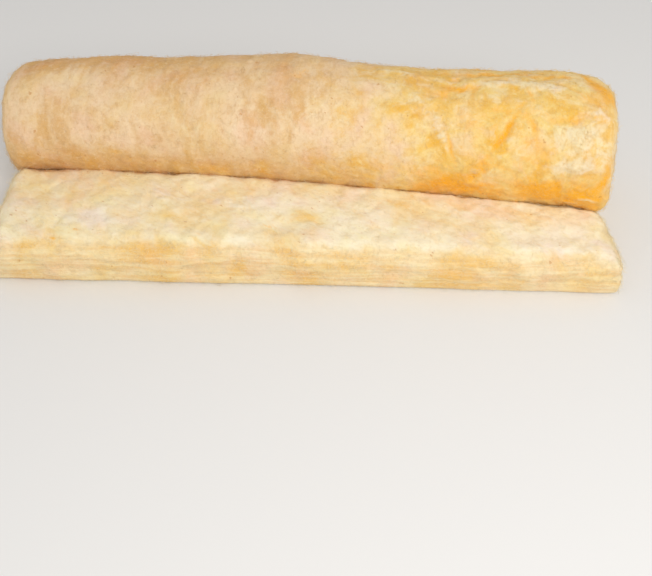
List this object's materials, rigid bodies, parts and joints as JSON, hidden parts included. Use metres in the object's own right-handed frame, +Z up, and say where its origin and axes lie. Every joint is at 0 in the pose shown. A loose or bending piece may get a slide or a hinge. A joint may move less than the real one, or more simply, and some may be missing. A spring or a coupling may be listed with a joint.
{
  "type": "insulation roll",
  "caption": "Soft glass wool blanket wound into a coil with an open eye, its free end paid out in front as a short flat length, for laying between joists.",
  "frame": {"origin": "on the floor, on the line where the coil touches it, half way along the coil", "axes": "+X along the coil towards its larger end, +Y away from the flat length, +Z up"},
  "size_m": [1.2182, 0.4844, 0.2937],
  "materials": {
    "glass_wool": "matt, fibrous and soft"
  },
  "bodies": {
    "root": {"glass_wool_roll": "glass_wool"}
  },
  "joints": []
}
